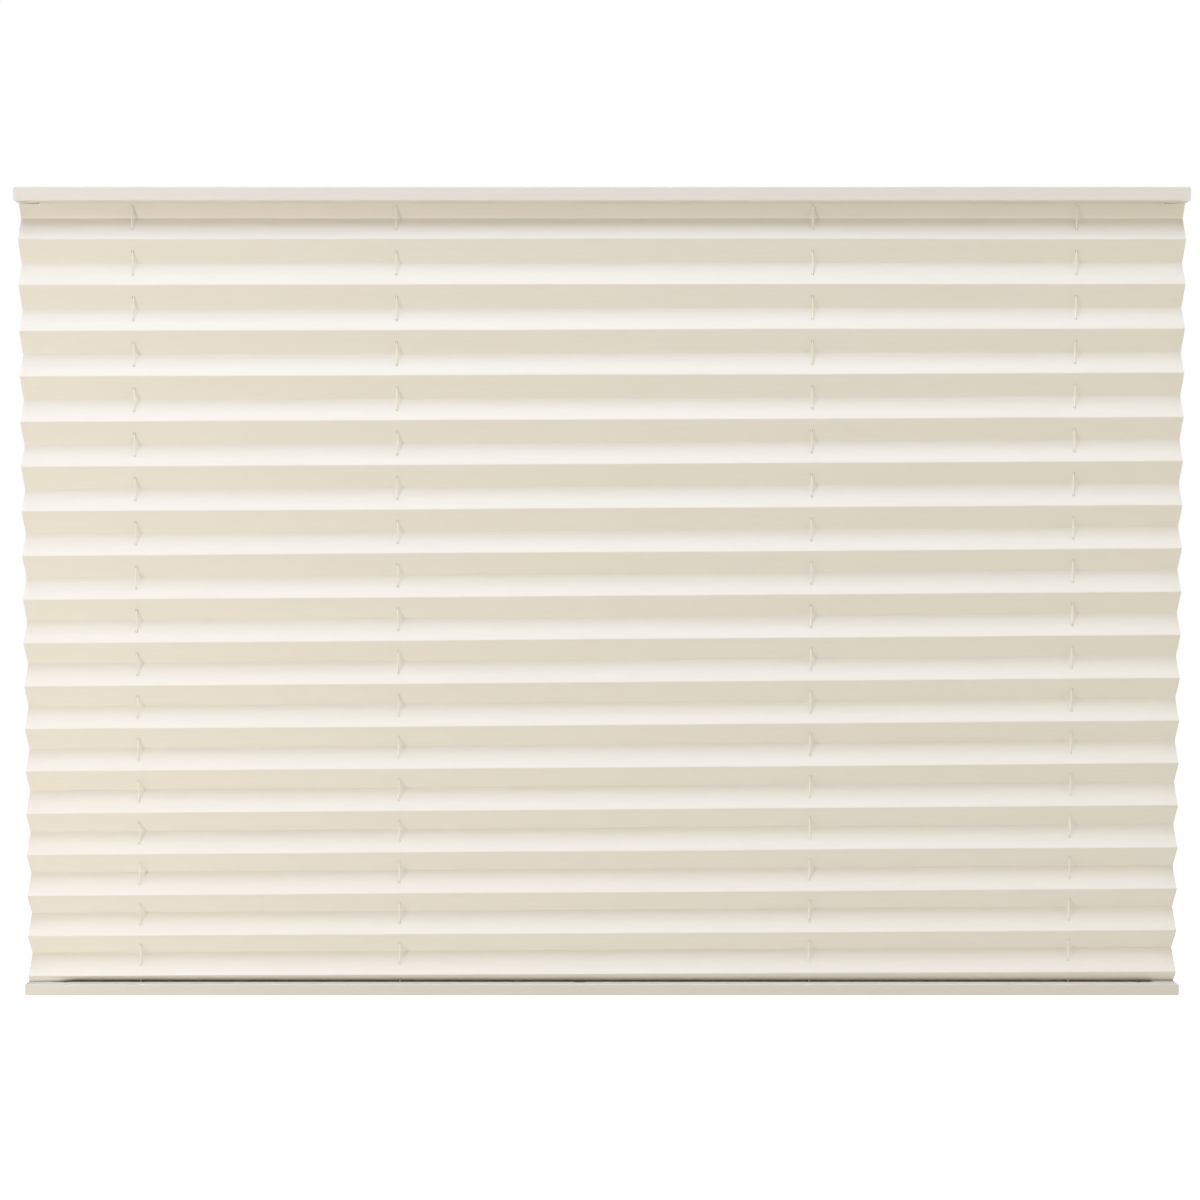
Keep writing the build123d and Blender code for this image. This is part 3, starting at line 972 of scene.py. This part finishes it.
def make_cord(cord, number, material):
    """One guide cord: a loop through its spring's eye, a knot, and the run down to the bottom rail."""
    x = CORD_PLACES[number]
    spring = SPRING_BOXES["left" if number <= 2 else "right"]
    start_x = spring[0].x if x < spring[0].x else spring[1].x
    side = math.copysign(1, x - start_x)
    run = cord_line(cord, start_x + side * cord.diameter * RUN_START, x, CAD_LOW.z)
    knot = knot_line(cord, (start_x + side * cord.diameter * KNOT_PLACE, 0.0, SPRING_AXIS_Z), side)
    points, faces, places = [], [], []
    for centres in (run, knot, loop_line(cord, start_x, side)):
        more_points, more_faces, more_places = braided_tube(cord, centres)
        first = len(points)
        points += list(more_points)
        faces += [tuple(first + k for k in face) for face in more_faces]
        places += list(more_places)
    piece = new_piece(f"braided_cord_{number}", points, faces, material)
    add_uv(piece.data, "round_and_along", np.array(places))
    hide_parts(f"guide_cord_{number}")
    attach(piece, "head_assembly")


# ---- Springs ----
# How finely a spring is drawn, and how far its eyes close.
WIRE_SIDES = 8
STEPS_PER_TURN = 20
SPIRAL_POINTS = 12
EYE_POINTS = 30
EYE_ARC = math.radians(335)


def spring_line(spring, low, high):
    """The wire's centreline: an eye, the close-wound body and the other eye."""
    middle_x = (low.x + high.x) / 2
    radius = (high.z - low.z - spring.wire) / 2
    half_body = spring.body_length / 2
    eye_radius = (spring.eye_hole + spring.wire) / 2
    eye_x = high.x - middle_x - spring.wire / 2 - eye_radius
    turn = np.linspace(0, 2 * math.pi * spring.turns, spring.turns * STEPS_PER_TURN + 1)
    body_x = np.linspace(-half_body, half_body, len(turn))
    body = np.stack([body_x, radius * np.sin(turn), radius * np.cos(turn)], 1)
    inwards = np.linspace(0, 1, SPIRAL_POINTS)[1:]
    spiral = np.stack(
        [
            half_body + (eye_x - eye_radius - half_body) * inwards,
            radius * (1 - inwards) * np.sin(math.pi * inwards),
            radius * (1 - inwards) * np.cos(math.pi * inwards),
        ],
        1,
    )
    turn = np.linspace(math.pi, math.pi + EYE_ARC, EYE_POINTS)[1:]
    eye = np.stack([eye_x + eye_radius * np.cos(turn), 0 * turn, eye_radius * np.sin(turn)], 1)
    tail = np.vstack([spiral, eye])
    head = (tail * (-1, 1, 1))[::-1]
    line = np.vstack([head, body, tail])
    return line + (middle_x, 0.0, SPRING_AXIS_Z)


def make_spring(spring, hand, material):
    """One tension spring of wound wire."""
    low, high = SPRING_BOXES[hand]
    centres = spring_line(spring, low, high)
    points, faces = tube(centres, np.full((len(centres), WIRE_SIDES), spring.wire / 2))
    piece = new_piece(f"wound_spring_{hand}", points, faces, material)
    places = unrolled(spring.wire / 2, WIRE_SIDES, distances_along(centres))
    add_uv(piece.data, "round_and_along", places)
    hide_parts(f"tension_spring_{hand}")
    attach(piece, "head_assembly")


# ---- Stage ----
FLOOR_REACH = 14.0

# Each light's place, the length of its side, the setting that holds its power, and its tint.
LIGHTS = {
    "high": ((-0.3, -1.2, 2.9), 2.4, "high_power", (0.86, 0.9, 1.0)),
    "low_left": ((-2.4, -2.2, -1.1), 0.6, "left_power", (1.0, 0.89, 0.69)),
    "right": ((2.8, -2.0, -0.1), 1.8, "right_power", (1.0, 0.885, 0.6)),
    "back": ((0.8, 2.8, 1.0), 2.4, "back_power", (1.0, 0.97, 0.92)),
}


def make_floor(settings):
    """A plain pale floor, not seen from below, whose bounced light is a little warm."""
    z = CAD_LOW.z - settings.floor_gap
    ends = (-FLOOR_REACH, FLOOR_REACH)
    corners = [(ends[i], ends[j], z) for i, j in ((0, 0), (1, 0), (1, 1), (0, 1))]
    material, tree, shader, surface = new_material("pale_floor")
    feed_inputs(tree, shader, Base_Color=(0.85, 0.85, 0.85, 1.0), Roughness=0.9)
    feed_inputs(tree, shader, Emission_Color=(1.0, 1.0, 1.0, 1.0), Emission_Strength=settings.floor_lift)
    bounce = add_node(tree, "ShaderNodeBsdfDiffuse", Color=opaque(settings.floor_bounce)).outputs["BSDF"]
    clear = tree.nodes.new("ShaderNodeBsdfTransparent").outputs["BSDF"]
    seen = tree.nodes.new("ShaderNodeLightPath").outputs["Is Camera Ray"]
    below = tree.nodes.new("ShaderNodeNewGeometry").outputs["Backfacing"]
    shown = mix_shaders(tree, below, shader.outputs["BSDF"], clear)
    feed(tree, surface, mix_shaders(tree, seen, bounce, shown))
    floor = new_piece("studio_floor", corners, [(0, 1, 2, 3)], material)


def make_sky(settings):
    """Even white light from all round, and pure white where the camera looks past the blind."""
    world = bpy.data.worlds.new("studio")
    bpy.context.scene.world = world
    world.use_nodes = True
    tree = world.node_tree
    tree.nodes.clear()
    white = add_node(tree, "ShaderNodeBackground", Color=(1.0, 1.0, 1.0, 1.0), Strength=1.0)
    light = add_node(tree, "ShaderNodeBackground", Color=(0.98, 0.99, 1.0, 1.0), Strength=settings.sky)
    seen = tree.nodes.new("ShaderNodeLightPath").outputs["Is Camera Ray"]
    mixed = mix_shaders(tree, seen, light.outputs["Background"], white.outputs["Background"])
    feed(tree, tree.nodes.new("ShaderNodeOutputWorld").inputs["Surface"], mixed)


def make_light(name, place, target, size, watts, tint):
    """A soft square light that points at a target."""
    data = bpy.data.lights.new(name, "AREA")
    data.shape = "SQUARE"
    data.size = size
    data.energy = watts
    data.color = tint
    light = add_object(name, data)
    light.location = place
    light.rotation_euler = (Vector(target) - Vector(place)).to_track_quat("-Z", "Y").to_euler()


def make_camera(settings):
    """The camera, level with the blind's upper middle and looking slightly down."""
    data = bpy.data.cameras.new("camera")
    data.sensor_width = 36.0
    data.lens = settings.lens
    camera = add_object("camera", data)
    camera.location = (settings.camera_side, -settings.camera_distance, -settings.camera_drop)
    camera.rotation_euler = (math.pi / 2 - settings.camera_pitch, 0.0, 0.0)
    bpy.context.scene.camera = camera


# ---- Operators ----
class BLIND_OT_finish_rails(bpy.types.Operator):
    """Powder-coat the head rail and the bottom rail"""

    bl_idname = "blind.finish_rails"
    bl_label = "Finish Rails"

    def execute(self, context):
        finish = context.scene.blind_finish
        # The bottom rail's darker cream is painted shade.
        shades = {"head": (finish.head, finish.head_shade), "bottom": (finish.foot, finish.foot_shade)}
        for rail, (base, shade) in shades.items():
            name = f"powder_coat_{rail}_rail"
            coat_nodes((f"{rail}_rail",), "powder_coat", name, base, shade, finish.dust)
        return {"FINISHED"}


class BLIND_OT_finish_caps(bpy.types.Operator):
    """Give the four end caps their moulded plastic"""

    bl_idname = "blind.finish_caps"
    bl_label = "Finish End Caps"

    def execute(self, context):
        finish = context.scene.blind_finish
        # The bottom caps' darker cream is painted shade.
        shades = {"head": (finish.head, finish.head_shade), "bottom": (finish.foot, finish.foot_shade)}
        for rail, (base, shade) in shades.items():
            nodes = (f"{rail}_end_cap_left", f"{rail}_end_cap_right")
            coat_nodes(nodes, "moulded_cap", f"moulded_{rail}_cap", base, shade, finish.dust)
        return {"FINISHED"}


class BLIND_OT_finish_strips(bpy.types.Operator):
    """Give the two stiffening strips their extruded plastic, dark brown as painted shade of the rail
    channels
    """

    bl_idname = "blind.finish_strips"
    bl_label = "Finish Strips"

    def execute(self, context):
        finish = context.scene.blind_finish
        colours = (finish.strip, finish.strip_shade, finish.dust)
        coat_nodes(("head_strip", "bottom_strip"), "extruded_strip", "extruded_strip", *colours)
        return {"FINISHED"}


class BLIND_OT_finish_rings(bpy.types.Operator):
    """Give the eyelets and bushes their moulded plastic"""

    bl_idname = "blind.finish_rings"
    bl_label = "Finish Eyelets and Bushes"

    def execute(self, context):
        finish = context.scene.blind_finish
        colours = (finish.ring, finish.ring_shade, finish.dust)
        nodes = [f"{kind}_{n}" for kind in ("head_eyelet", "bottom_bush") for n in CORD_NUMBERS]
        coat_nodes(nodes, "moulded_ring", "moulded_ring", *colours)
        return {"FINISHED"}


class BLIND_OT_make_cloth(bpy.types.Operator):
    """Fold and hang the pleated cloth"""

    bl_idname = "blind.make_cloth"
    bl_label = "Make Cloth"

    def execute(self, context):
        make_cloth(context.scene.blind_cloth, context.scene.blind_cord)
        return {"FINISHED"}


class BLIND_OT_make_cords(bpy.types.Operator):
    """Braid the four guide cords"""

    bl_idname = "blind.make_cords"
    bl_label = "Make Guide Cords"

    def execute(self, context):
        cord = context.scene.blind_cord
        material = cord_material(cord)
        for number in CORD_NUMBERS:
            make_cord(cord, number, material)
        return {"FINISHED"}


class BLIND_OT_make_springs(bpy.types.Operator):
    """Wind the two tension springs"""

    bl_idname = "blind.make_springs"
    bl_label = "Make Tension Springs"

    def execute(self, context):
        spring = context.scene.blind_spring
        material = steel_material(spring)
        for hand in SPRING_BOXES:
            make_spring(spring, hand, material)
        return {"FINISHED"}


class BLIND_OT_make_stage(bpy.types.Operator):
    """Make the floor, the light and the camera"""

    bl_idname = "blind.make_stage"
    bl_label = "Make Stage"

    def execute(self, context):
        stage = context.scene.blind_stage
        middle = (0.0, 0.0, (CAD_LOW.z + CAD_HIGH.z) / 2)
        make_floor(stage)
        make_sky(stage)
        for name, (place, size, watts, tint) in LIGHTS.items():
            make_light(name, place, middle, size, getattr(stage, watts), tint)
        make_camera(stage)
        context.scene.view_settings.view_transform = "Standard"
        return {"FINISHED"}


OPERATORS = (
    BLIND_OT_finish_rails,
    BLIND_OT_finish_caps,
    BLIND_OT_finish_strips,
    BLIND_OT_finish_rings,
    BLIND_OT_make_cloth,
    BLIND_OT_make_cords,
    BLIND_OT_make_springs,
    BLIND_OT_make_stage,
)
SETTINGS = {
    "blind_cloth": BlindClothSettings,
    "blind_cord": BlindCordSettings,
    "blind_spring": BlindSpringSettings,
    "blind_finish": BlindFinishSettings,
    "blind_stage": BlindStageSettings,
}


class BLIND_PT_sidebar(bpy.types.Panel):
    """The blind's sizes, colours and steps"""

    bl_idname = "BLIND_PT_sidebar"
    bl_label = "Pleated Blind"
    bl_space_type = "VIEW_3D"
    bl_region_type = "UI"
    bl_category = "Blind"

    def draw(self, context):
        for name, settings in SETTINGS.items():
            box = self.layout.box()
            box.label(text=settings.__doc__)
            for prop in settings.__annotations__:
                box.prop(getattr(context.scene, name), prop)
        for operator in OPERATORS:
            self.layout.operator(operator.bl_idname)


def register():
    """Register the classes and put the settings on the scene."""
    for made in (*SETTINGS.values(), *OPERATORS, BLIND_PT_sidebar):
        bpy.utils.register_class(made)
    for name, settings in SETTINGS.items():
        setattr(bpy.types.Scene, name, PointerProperty(type=settings))


def unregister():
    """Take the settings off the scene and unregister the classes."""
    for name in SETTINGS:
        delattr(bpy.types.Scene, name)
    for made in reversed((*SETTINGS.values(), *OPERATORS, BLIND_PT_sidebar)):
        bpy.utils.unregister_class(made)


def main():
    """Build everything in order."""
    register()
    for operator in OPERATORS:
        area, name = operator.bl_idname.split(".")
        getattr(getattr(bpy.ops, area), name)()


if __name__ == "__main__":
    main()
